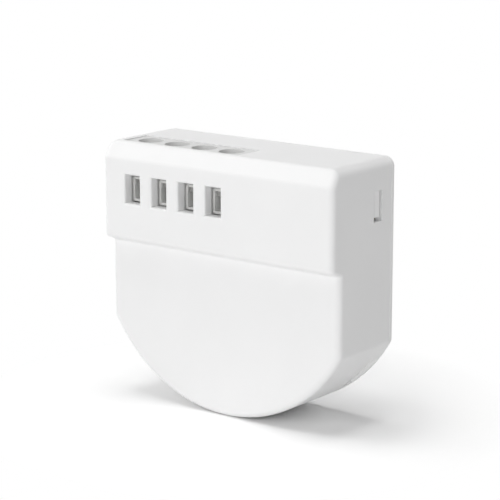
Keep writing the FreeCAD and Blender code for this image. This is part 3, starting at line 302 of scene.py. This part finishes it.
def laminate(name, mask_colour, core_colour, track_size):
    """Circuit board: solder mask over raised copper tracks, with the bare laminate on its cut edges."""
    material, tree, shader, place = start_material(name)
    parts = add_node(tree, "ShaderNodeSeparateXYZ", {"Vector": place})
    flat = add_node(tree, "ShaderNodeCombineXYZ", {"X": parts.outputs["X"], "Y": parts.outputs["Z"]})
    links = {"Vector": flat.outputs["Vector"], "Scale": 1.0 / track_size, "Randomness": 0.85}
    tracks = add_node(tree, "ShaderNodeTexVoronoi", links, voronoi_dimensions="2D", distance="MANHATTAN",
                      feature="F1")
    band = maths(tree, "PINGPONG", maths(tree, "MULTIPLY", tracks.outputs["Distance"], 3.2), 0.5)
    track = remap(tree, band, 0.16, 0.2, 0.0, 1.0)
    tone = place_group(tree, "Tone Drift", place, Patch_Size=6.0, Contrast=1.2)
    masked = mix_colour(tree, tone.outputs["Mask"], shade(mask_colour, 0.85), shade(mask_colour, 1.1))
    over = mix_colour(tree, track, masked, shade(mask_colour, 1.55))
    normal = add_node(tree, "ShaderNodeNewGeometry").outputs["Normal"]
    facing = add_node(tree, "ShaderNodeSeparateXYZ", {"Vector": normal}).outputs["Y"]
    face = maths(tree, "GREATER_THAN", maths(tree, "ABSOLUTE", facing), 0.5)
    tree.links.new(mix_colour(tree, face, shade(core_colour, 1.0), over), shader.inputs["Base Color"])
    tree.links.new(remap(tree, face, 0.0, 1.0, 0.75, 0.32), shader.inputs["Roughness"])
    bump_to(tree, shader, maths(tree, "MULTIPLY", track, face), 0.03 * MM)
    return material


def wound_wire(name, colour):
    """Enamelled copper wire: metal under a clear coat, with a tint that drifts from turn to turn."""
    material, tree, shader, place = start_material(name)
    tone = place_group(tree, "Tone Drift", place, Patch_Size=0.5, Contrast=2.4)
    base = mix_colour(tree, tone.outputs["Mask"], shade(colour, 0.72), shade(colour, 1.08))
    tree.links.new(base, shader.inputs["Base Color"])
    shader.inputs["Metallic"].default_value = 0.9
    tree.links.new(remap(tree, tone.outputs["Mask"], 0.0, 1.0, 0.34, 0.22), shader.inputs["Roughness"])
    shader.inputs["Coat Weight"].default_value = 0.6
    shader.inputs["Coat Roughness"].default_value = 0.15
    return material


def clear_film(name, colour):
    """Thin matt insulation film that lets some light through."""
    material, tree, shader, place = start_material(name)
    tone = place_group(tree, "Tone Drift", place, Patch_Size=4.0, Contrast=1.5)
    grained = place_group(tree, "Moulded Grain", place, Grain_Size=0.3, Flow=0.6)
    base = mix_colour(tree, tone.outputs["Mask"], shade(colour, 0.94), shade(colour, 1.04))
    tree.links.new(base, shader.inputs["Base Color"])
    tree.links.new(remap(tree, tone.outputs["Mask"], 0.0, 1.0, 0.34, 0.5), shader.inputs["Roughness"])
    shader.inputs["Alpha"].default_value = 0.55
    bump_to(tree, shader, grained.outputs["Height"], 0.02 * MM)
    return material


def sleeved_can(name, colour):
    """Capacitor can: shrunk sleeve on its side and bare aluminium on its round end."""
    material, tree, shader, place = start_material(name)
    normal = add_node(tree, "ShaderNodeNewGeometry").outputs["Normal"]
    facing = add_node(tree, "ShaderNodeSeparateXYZ", {"Vector": normal}).outputs["Y"]
    end = remap(tree, maths(tree, "ABSOLUTE", facing), 0.8, 0.9, 0.0, 1.0)
    tone = place_group(tree, "Tone Drift", place, Patch_Size=3.0, Contrast=1.2)
    grained = place_group(tree, "Moulded Grain", place, Grain_Size=0.5, Flow=0.8)
    sleeve = mix_colour(tree, tone.outputs["Mask"], shade(colour, 0.8), shade(colour, 1.25))
    tree.links.new(mix_colour(tree, end, sleeve, (0.78, 0.78, 0.79, 1.0)), shader.inputs["Base Color"])
    tree.links.new(end, shader.inputs["Metallic"])
    tree.links.new(remap(tree, end, 0.0, 1.0, 0.28, 0.38), shader.inputs["Roughness"])
    bump_to(tree, shader, grained.outputs["Height"], 0.01 * MM)
    return material


def sintered(name, colour, roughness):
    """Ceramic or ferrite: speckled, slightly rough, with chalky edges."""
    material, tree, shader, place = start_material(name)
    grained = place_group(tree, "Moulded Grain", place, Grain_Size=0.09, Flow=0.4)
    edge_wear_and_sheen = place_group(tree, "Edge Wear And Sheen", place, Edge_Width=0.1, Amount=0.7)
    speckled = mix_colour(tree, grained.outputs["Mask"], shade(colour, 0.8), shade(colour, 1.3))
    chalky = mix_colour(tree, edge_wear_and_sheen.outputs["Mask"], speckled, shade(colour, 1.8))
    tree.links.new(chalky, shader.inputs["Base Color"])
    rough = remap(tree, grained.outputs["Mask"], 0.0, 1.0, roughness + 0.1, roughness - 0.05)
    tree.links.new(rough, shader.inputs["Roughness"])
    bump_to(tree, shader, grained.outputs["Height"], 0.015 * MM, edge_wear_and_sheen.outputs["Normal"])
    return material


def dipped_coat(name, colour):
    """Dipped resin coat: glossy and a little uneven."""
    material, tree, shader, place = start_material(name)
    tone = place_group(tree, "Tone Drift", place, Patch_Size=1.8, Contrast=1.6)
    grained = place_group(tree, "Moulded Grain", place, Grain_Size=1.1, Flow=0.8)
    base = mix_colour(tree, tone.outputs["Mask"], shade(colour, 0.86), shade(colour, 1.14))
    tree.links.new(base, shader.inputs["Base Color"])
    tree.links.new(remap(tree, tone.outputs["Mask"], 0.0, 1.0, 0.22, 0.34), shader.inputs["Roughness"])
    bump_to(tree, shader, grained.outputs["Height"], 0.05 * MM)
    return material


def moulded_chip(name, colour, low, high):
    """Chip package: dark resin body, lighter along its edges."""
    material, tree, shader, place = start_material(name)
    grained = place_group(tree, "Moulded Grain", place, Grain_Size=0.06, Flow=0.3)
    edge_wear_and_sheen = place_group(tree, "Edge Wear And Sheen", place, Edge_Width=0.06, Amount=0.6)
    base = mix_colour(tree, grained.outputs["Mask"], shade(colour, 0.8), shade(colour, 1.3))
    edged = mix_colour(tree, edge_wear_and_sheen.outputs["Mask"], base, shade(colour, 2.4))
    tree.links.new(edged, shader.inputs["Base Color"])
    tree.links.new(remap(tree, grained.outputs["Mask"], 0.0, 1.0, high, low), shader.inputs["Roughness"])
    bump_to(tree, shader, grained.outputs["Height"], 0.012 * MM, edge_wear_and_sheen.outputs["Normal"])
    return material


def slot_colour(slot):
    """The colour that the record gives a material slot."""
    for material in frame["record"]["materials"]:
        if material["slot"] == slot:
            return tuple(material["base_color"]) + (1.0,)
    raise RuntimeError(f"the record has no material slot named {slot}")


def finish_for(slot, looks):
    """The procedural material of one slot, built the first time it is asked for."""
    name = f"{slot}_finish"
    return bpy.data.materials.get(name) or new_finish(slot, name, looks)


def new_finish(slot, name, looks):
    """Build the procedural material of one slot.

    The casing and the terminal block take their colours from the looks, the terminal metals from
    their own table, and every other slot from the record.
    """
    colour = slot_colour(slot)
    if slot == "casing_white":
        return moulded_plastic(name, looks.casing_colour[:], looks.casing_roughness, looks.grain_size,
                               looks.grain_depth * MM)
    # The terminal block's darker grey is painted shade for the insides of its screw holes.
    if slot == "terminal_white":
        return moulded_plastic(name, looks.terminal_colour[:], 0.5, 0.2, 0.006 * MM, edge=0.08)
    if slot in ("relay_case", "relay_plastic"):
        return moulded_plastic(name, colour, 0.42, 0.18, 0.008 * MM, drift=0.06)
    if slot in TERMINAL_METALS:
        tint, roughness, metallic = TERMINAL_METALS[slot]
        return plated_metal(name, tint, roughness, metallic=metallic)
    if slot == "relay_iron":
        return plated_metal(name, colour, 0.42)
    if slot == "shield_metal":
        return plated_metal(name, colour, 0.3)
    if slot in ("spring_bronze", "antenna_copper"):
        return plated_metal(name, colour, 0.26, line=0.04, tarnish=0.2)
    if slot == "board_green":
        return laminate(name, colour, (0.62, 0.58, 0.38, 1.0), 3.1 * MM)
    if slot == "radio_blue":
        return laminate(name, colour, (0.55, 0.52, 0.36, 1.0), 1.7 * MM)
    if slot == "winding_copper":
        return wound_wire(name, colour)
    if slot == "sheet_clear":
        return clear_film(name, colour)
    if slot == "capacitor_sleeve":
        return sleeved_can(name, colour)
    if slot in ("ferrite", "chip_tan"):
        return sintered(name, colour, 0.6)
    if slot == "chip_ceramic":
        return sintered(name, colour, 0.35)
    if slot in ("varistor_blue", "resistor_coat"):
        return dipped_coat(name, colour)
    if slot == "film_yellow":
        return moulded_plastic(name, colour, 0.36, 0.25, 0.006 * MM, drift=0.05)
    if slot == "chip_black":
        return moulded_chip(name, colour, 0.5, 0.7)
    raise RuntimeError(f"no finish is written for the slot {slot}")


def dress(names, looks):
    """Give CAD nodes the material of their slot."""
    for name in names:
        node = frame["nodes"][name]
        node.data.materials.clear()
        node.data.materials.append(finish_for(SUBPART_SLOTS[name], looks))
        node["dressed"] = True


# New pieces

def grid_mesh(name, points, close_rows=False):
    """A mesh from an array of points, rows by columns by 3, whose columns close on themselves.

    Quad (i, j) joins the points (i, j), (i, j+1), (i+1, j+1) and (i+1, j). With close_rows the
    last row also joins the first, which makes a closed tube that bites its own tail.
    """
    rows, columns = points.shape[:2]
    row_count = rows if close_rows else rows - 1
    i, j = np.meshgrid(np.arange(row_count), np.arange(columns), indexing="ij")
    after_i = (i + 1) % rows
    after_j = (j + 1) % columns
    corners = [i * columns + j, i * columns + after_j, after_i * columns + after_j, after_i * columns + j]
    quads = np.stack(corners, -1)
    mesh = bpy.data.meshes.new(name)
    mesh.from_pydata(points.reshape(-1, 3).tolist(), [], quads.reshape(-1, 4).tolist())
    mesh.shade_smooth()
    return mesh


def add_piece(name, mesh, body, slot, looks):
    """Link a mesh as a piece at the origin that rides on a body and takes a slot's finish."""
    piece = bpy.data.objects.new(name, mesh)
    bpy.context.scene.collection.objects.link(piece)
    mesh.materials.append(finish_for(slot, looks))
    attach(piece, body)
    return piece


def wound_points(node_name, axis, wire):
    """Outer layer of a winding, as a closed ring of points round its axis.

    With s along the axis, a the angle and t the fraction of (s / wire - a / full turn), the radius is
    outer - wire/2 + wire/2 * sqrt(1 - (2t - 1)^2): half a wire's round back at each turn of a helix.
    The ring goes on over the far end, back through the bore and over the near end.
    """
    node = frame["nodes"][node_name]
    corners = np.empty(len(node.data.vertices) * 3)
    node.data.vertices.foreach_get("co", corners)
    corners = corners.reshape(-1, 3)
    side, up = [k for k in range(3) if k != axis]
    low, high = corners.min(0), corners.max(0)
    middle = (low + high) / 2
    from_axis = np.hypot(corners[:, side] - middle[side], corners[:, up] - middle[up])
    bore, outer = from_axis.min(), from_axis.max()
    length = high[axis] - low[axis]
    turns = max(3, int(length / wire))
    pitch = length / turns
    steps = turns * 8 + 1
    along = np.linspace(0.0, length, steps)
    angle = np.linspace(0.0, 2 * math.pi, 56, endpoint=False)
    turn = (along[:, None] / pitch - angle[None, :] / (2 * math.pi)) % 1.0
    bulge = np.sqrt(np.clip(1 - (2 * turn - 1) ** 2, 0, 1))
    radius = outer - pitch / 2 + pitch / 2 * bulge
    near = np.full((1, angle.size), bore)
    radius = np.concatenate([near, radius, near])
    along = np.concatenate([[0.0], along, [length]])
    points = np.empty((along.size, angle.size, 3))
    points[..., axis] = low[axis] + along[:, None]
    points[..., side] = middle[side] + radius * np.cos(angle)[None, :]
    points[..., up] = middle[up] + radius * np.sin(angle)[None, :]
    return points


class ModuleLooks(bpy.types.PropertyGroup):
    """Colours and finishes that a user would change."""

    casing_colour: bpy.props.FloatVectorProperty(
        name="Casing Colour", description="Colour of the moulded housing and rear cover", subtype="COLOR",
        size=4,
        min=0.0, max=1.0, default=(0.93, 0.93, 0.93, 1.0))
    casing_roughness: bpy.props.FloatProperty(
        name="Casing Roughness", description="Roughness of the satin plastic", min=0.05, max=1.0,
        default=0.46,
        subtype="FACTOR")
    # The terminal block's grey, darker than the casing, is painted shade for the insides of its screw
    # holes.
    terminal_colour: bpy.props.FloatVectorProperty(
        name="Terminal Colour", description="Colour of the terminal block inside the casing",
        subtype="COLOR", size=4,
        min=0.0, max=1.0, default=(0.78, 0.78, 0.775, 1.0))
    grain_size: bpy.props.FloatProperty(
        name="Grain Size", description="Width of one grain of the moulded surface, in millimetres",
        min=0.02, max=1.0,
        default=0.14)
    grain_depth: bpy.props.FloatProperty(
        name="Grain Depth", description="Depth of the moulded grain, in millimetres", min=0.0, max=0.1,
        default=0.006)


class WindingSizes(bpy.types.PropertyGroup):
    """Wire of the relay coil and of the choke."""

    coil_wire: bpy.props.FloatProperty(
        name="Coil Wire", description="Diameter of the relay coil's wire", min=0.0001, max=0.001,
        default=0.00034,
        unit="LENGTH", precision=5)
    choke_wire: bpy.props.FloatProperty(
        name="Choke Wire", description="Diameter of the choke's wire", min=0.0001, max=0.001,
        default=0.00042,
        unit="LENGTH", precision=5)


class StageSettings(bpy.types.PropertyGroup):
    """Light and camera of the product shot."""

    sky_level: bpy.props.FloatProperty(
        name="Sky Level", description="Brightness of the even light from all round", min=0.0, max=2.0,
        default=0.075)
    lamp_power: bpy.props.FloatProperty(
        name="Lamp Power", description="Power of all the lamps together", min=0.0, max=100.0, default=8.67,
        unit="POWER")
    lamp_distance: bpy.props.FloatProperty(
        name="Lamp Distance", description="Distance from each lamp to the module", min=0.1, max=5.0,
        default=0.8,
        unit="LENGTH")
    floor_tone: bpy.props.FloatProperty(
        name="Floor Tone", description="How far the camera sees the lit floor lifted towards white",
        min=0.0, max=3.0,
        default=1.25)
    # The floor's darkening under the module, set by the next two, is a painted contact shadow.
    contact_shadow_reach: bpy.props.FloatProperty(
        name="Contact Reach", description="Distance under the module over which the floor darkens",
        min=0.001, max=0.5,
        default=0.03, unit="LENGTH")
    contact_shadow_depth: bpy.props.FloatProperty(
        name="Contact Depth", description="How strongly the floor darkens under the module", min=0.0,
        max=3.0,
        default=0.1)
    white_from: bpy.props.FloatProperty(
        name="White From",
        description="Distance from the module at which the floor starts to turn plain white",
        min=0.0, max=5.0, default=0.026, unit="LENGTH")
    focal_pixels: bpy.props.FloatProperty(
        name="Focal Length in Pixels", description="Camera focal length for a picture 500 pixels wide",
        min=100.0,
        max=10000.0, default=1988.095)
    turn: bpy.props.FloatProperty(
        name="Turn", description="Camera turn about the vertical, to the module's right", default=0.660923,
        subtype="ANGLE", unit="ROTATION")
    tilt: bpy.props.FloatProperty(
        name="Tilt", description="Camera tilt down", default=0.222378, subtype="ANGLE", unit="ROTATION")
    distance: bpy.props.FloatProperty(
        name="Distance", description="Distance from the camera to the point it looks at", default=0.281364,
        unit="LENGTH")
    target: bpy.props.FloatVectorProperty(
        name="Target", description="Point that the camera looks at", size=3,
        default=(0.006733, -0.0076, 0.026305),
        subtype="TRANSLATION", unit="LENGTH")


class SWITCH_OT_dress_casing(bpy.types.Operator):
    """Give the housing and the rear cover their moulded white plastic"""

    bl_idname = "switch_module.dress_casing"
    bl_label = "Dress Casing"

    def execute(self, context):
        dress(["front_housing", "rear_cover", "insulation_sheet"], context.scene.module_looks)
        return {"FINISHED"}


class SWITCH_OT_dress_terminals(bpy.types.Operator):
    """Give the terminal block, its clamps and its current bars their plastic and metals"""

    bl_idname = "switch_module.dress_terminals"
    bl_label = "Dress Terminals"

    def execute(self, context):
        names = ["terminal_body"]
        for pole in range(1, 5):
            names += [f"clamp_screw_{pole}", f"clamp_cage_{pole}", f"current_bar_{pole}"]
        dress(names, context.scene.module_looks)
        return {"FINISHED"}


class SWITCH_OT_dress_relay(bpy.types.Operator):
    """Dress the load relay's plastic, iron and springs, and wind its coil"""

    bl_idname = "switch_module.dress_relay"
    bl_label = "Dress Relay"

    def execute(self, context):
        looks = context.scene.module_looks
        dress([name for name in frame["nodes"] if name.startswith("relay_")], looks)
        points = wound_points("relay_coil", 0, context.scene.winding_sizes.coil_wire)
        winding = add_piece("relay_coil_winding", grid_mesh("relay_coil_winding", points, True), "module",
                            "winding_copper", looks)
        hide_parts("relay_coil")
        return {"FINISHED"}


class SWITCH_OT_dress_board(bpy.types.Operator):
    """Dress the circuit board, its chips and the radio module"""

    bl_idname = "switch_module.dress_board"
    bl_label = "Dress Board"

    def execute(self, context):
        names = ["main_board", "supply_chip", "voltage_regulator", "optocoupler", "bridge_rectifier",
                 "coil_diode", "chip_resistors", "chip_capacitors", "radio_board", "radio_antenna",
                 "radio_shield", "radio_chip", "crystal"]
        dress(names, context.scene.module_looks)
        return {"FINISHED"}


class SWITCH_OT_dress_supply(bpy.types.Operator):
    """Dress the capacitors, choke, varistor and fusible resistor, and wind the choke"""

    bl_idname = "switch_module.dress_supply"
    bl_label = "Dress Supply Parts"

    def execute(self, context):
        looks = context.scene.module_looks
        names = ["output_capacitor", "bulk_capacitor_1", "bulk_capacitor_2", "film_capacitor", "varistor",
                 "fusible_resistor", "choke_core", "choke_winding"]
        dress(names, looks)
        points = wound_points("choke_winding", 1, context.scene.winding_sizes.choke_wire)
        winding = add_piece("choke_wire", grid_mesh("choke_wire", points[:, ::-1], True), "module",
                            "winding_copper", looks)
        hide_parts("choke_winding")
        return {"FINISHED"}


def camera_only(tree):
    """A mask of what the camera sees straight, in a reflection or through glass."""
    path = tree.nodes.new("ShaderNodeLightPath")
    seen = maths(tree, "MAXIMUM", path.outputs["Is Camera Ray"], path.outputs["Is Glossy Ray"])
    return maths(tree, "MAXIMUM", seen, path.outputs["Is Transmission Ray"])


def make_floor(stage):
    """A plain pale floor: white where the light reaches it, and grey where the module shades it.

    The camera sees it a little lifted, with a painted contact shadow where the module stands close over
    it, and plain white further off. The module itself is lit by the plain floor.
    """
    half = FLOOR_HALF
    mesh = bpy.data.meshes.new("floor")
    corners = [(-half, -half, 0.0), (half, -half, 0.0), (half, half, 0.0), (-half, half, 0.0)]
    mesh.from_pydata(corners, [], [(0, 1, 2, 3)])
    floor = bpy.data.objects.new("floor", mesh)
    bpy.context.scene.collection.objects.link(floor)
    material = bpy.data.materials.new("floor_white")
    material.use_nodes = True
    tree = material.node_tree
    tree.nodes.clear()
    plain = add_node(tree, "ShaderNodeBsdfDiffuse", {"Color": FLOOR_COLOUR})
    # Ambient occlusion darkens the floor the camera sees under the module: a painted contact shadow.
    contact_occlusion = add_node(tree, "ShaderNodeAmbientOcclusion", {"Distance": stage.contact_shadow_reach}, samples=16)
    painted_contact_shadow = maths(tree, "POWER", contact_occlusion.outputs["AO"], stage.contact_shadow_depth)
    half_tone = maths(tree, "MULTIPLY", painted_contact_shadow, stage.floor_tone / 2)
    near = tree.nodes.new("ShaderNodeAddShader")
    for layer in range(2):
        shaded = add_node(tree, "ShaderNodeBsdfDiffuse", {"Color": half_tone})
        tree.links.new(shaded.outputs["BSDF"], near.inputs[layer])
    place = tree.nodes.new("ShaderNodeTexCoord").outputs["Object"]
    reach = add_node(tree, "ShaderNodeVectorMath", {0: place}, operation="LENGTH").outputs["Value"]
    far = remap(tree, reach, stage.white_from, WHITE_REACHED * stage.white_from, 0.0, 1.0)
    white = add_node(tree, "ShaderNodeEmission", {"Color": (1.0, 1.0, 1.0, 1.0), "Strength": 1.0})
    seen = tree.nodes.new("ShaderNodeMixShader")
    tree.links.new(far, seen.inputs["Fac"])
    tree.links.new(near.outputs["Shader"], seen.inputs[1])
    tree.links.new(white.outputs["Emission"], seen.inputs[2])
    choose = tree.nodes.new("ShaderNodeMixShader")
    tree.links.new(camera_only(tree), choose.inputs["Fac"])
    tree.links.new(plain.outputs["BSDF"], choose.inputs[1])
    tree.links.new(seen.outputs["Shader"], choose.inputs[2])
    output = tree.nodes.new("ShaderNodeOutputMaterial")
    tree.links.new(choose.outputs["Shader"], output.inputs["Surface"])
    mesh.materials.append(material)


def make_sky(level):
    """Even light from all round, which the camera sees as white."""
    world = bpy.data.worlds.new("studio")
    bpy.context.scene.world = world
    world.use_nodes = True
    tree = world.node_tree
    tree.nodes.clear()
    strength = maths(tree, "MULTIPLY_ADD", camera_only(tree), 1.0 - level, level)
    back = add_node(tree, "ShaderNodeBackground", {"Color": (1.0, 1.0, 1.0, 1.0), "Strength": strength})
    output = tree.nodes.new("ShaderNodeOutputWorld")
    tree.links.new(back.outputs["Background"], output.inputs["Surface"])


def aim(obj, place, target):
    """Stand an object at place and point its -Z axis at target."""
    obj.location = place
    obj.rotation_mode = "QUATERNION"
    obj.rotation_quaternion = (target - place).to_track_quat("-Z", "Y")


class SWITCH_OT_build_stage(bpy.types.Operator):
    """Build the floor, the light and the camera of the product shot"""

    bl_idname = "switch_module.build_stage"
    bl_label = "Build Stage"

    def execute(self, context):
        stage = context.scene.stage_settings
        make_floor(stage)
        make_sky(stage.sky_level)
        centre = (CAD_LOW + CAD_HIGH) / 2
        for name, turn, height, side, share in LAMPS:
            lamp = bpy.data.lights.new(name, "AREA")
            lamp.energy = stage.lamp_power * share
            lamp.size = side
            holder = bpy.data.objects.new(name, lamp)
            context.scene.collection.objects.link(holder)
            turn, height = math.radians(turn), math.radians(height)
            away = Vector((math.sin(turn) * math.cos(height), -math.cos(turn) * math.cos(height),
                           math.sin(height)))
            aim(holder, centre + away * stage.lamp_distance, centre)
        camera = bpy.data.objects.new("camera", bpy.data.cameras.new("camera"))
        context.scene.collection.objects.link(camera)
        camera.data.sensor_width = 36.0
        camera.data.lens = stage.focal_pixels / 500 * camera.data.sensor_width
        camera.data.clip_start = 0.01
        camera.data.clip_end = 20.0
        ahead = Vector((-math.sin(stage.turn) * math.cos(stage.tilt),
                        math.cos(stage.turn) * math.cos(stage.tilt),
                        -math.sin(stage.tilt)))
        target = Vector(stage.target)
        aim(camera, target - ahead * stage.distance, target)
        context.scene.camera = camera
        context.scene.view_settings.view_transform = "Standard"
        return {"FINISHED"}


class SWITCH_PT_module(bpy.types.Panel):
    """Sidebar list of the module's steps and settings"""

    bl_label = "Switch Module"
    bl_idname = "SWITCH_PT_module"
    bl_space_type = "VIEW_3D"
    bl_region_type = "UI"
    bl_category = "Switch Module"

    def draw(self, context):
        for group in ("module_looks", "winding_sizes", "stage_settings"):
            settings = getattr(context.scene, group)
            box = self.layout.box()
            for name in settings.__annotations__:
                box.prop(settings, name)
        for step in STEPS:
            self.layout.operator(step.bl_idname)


STEPS = (
    SWITCH_OT_dress_casing,
    SWITCH_OT_dress_terminals,
    SWITCH_OT_dress_relay,
    SWITCH_OT_dress_board,
    SWITCH_OT_dress_supply,
    SWITCH_OT_build_stage,
)
CLASSES = (ModuleLooks, WindingSizes, StageSettings) + STEPS + (SWITCH_PT_module,)


def register():
    """Register the classes and put the settings on the scene."""
    for one in CLASSES:
        bpy.utils.register_class(one)
    bpy.types.Scene.module_looks = bpy.props.PointerProperty(type=ModuleLooks)
    bpy.types.Scene.winding_sizes = bpy.props.PointerProperty(type=WindingSizes)
    bpy.types.Scene.stage_settings = bpy.props.PointerProperty(type=StageSettings)


def unregister():
    """Take the settings off the scene and unregister the classes."""
    del bpy.types.Scene.module_looks
    del bpy.types.Scene.winding_sizes
    del bpy.types.Scene.stage_settings
    for one in reversed(CLASSES):
        bpy.utils.unregister_class(one)


def main():
    """Run every step in order."""
    register()
    bpy.ops.switch_module.dress_casing()
    bpy.ops.switch_module.dress_terminals()
    bpy.ops.switch_module.dress_relay()
    bpy.ops.switch_module.dress_board()
    bpy.ops.switch_module.dress_supply()
    bpy.ops.switch_module.build_stage()
    bare = sorted(name for name, node in frame["nodes"].items() if not node.get("dressed"))
    if bare:
        raise RuntimeError(f"these nodes have no finish: {bare}")


if __name__ == "__main__":
    main()
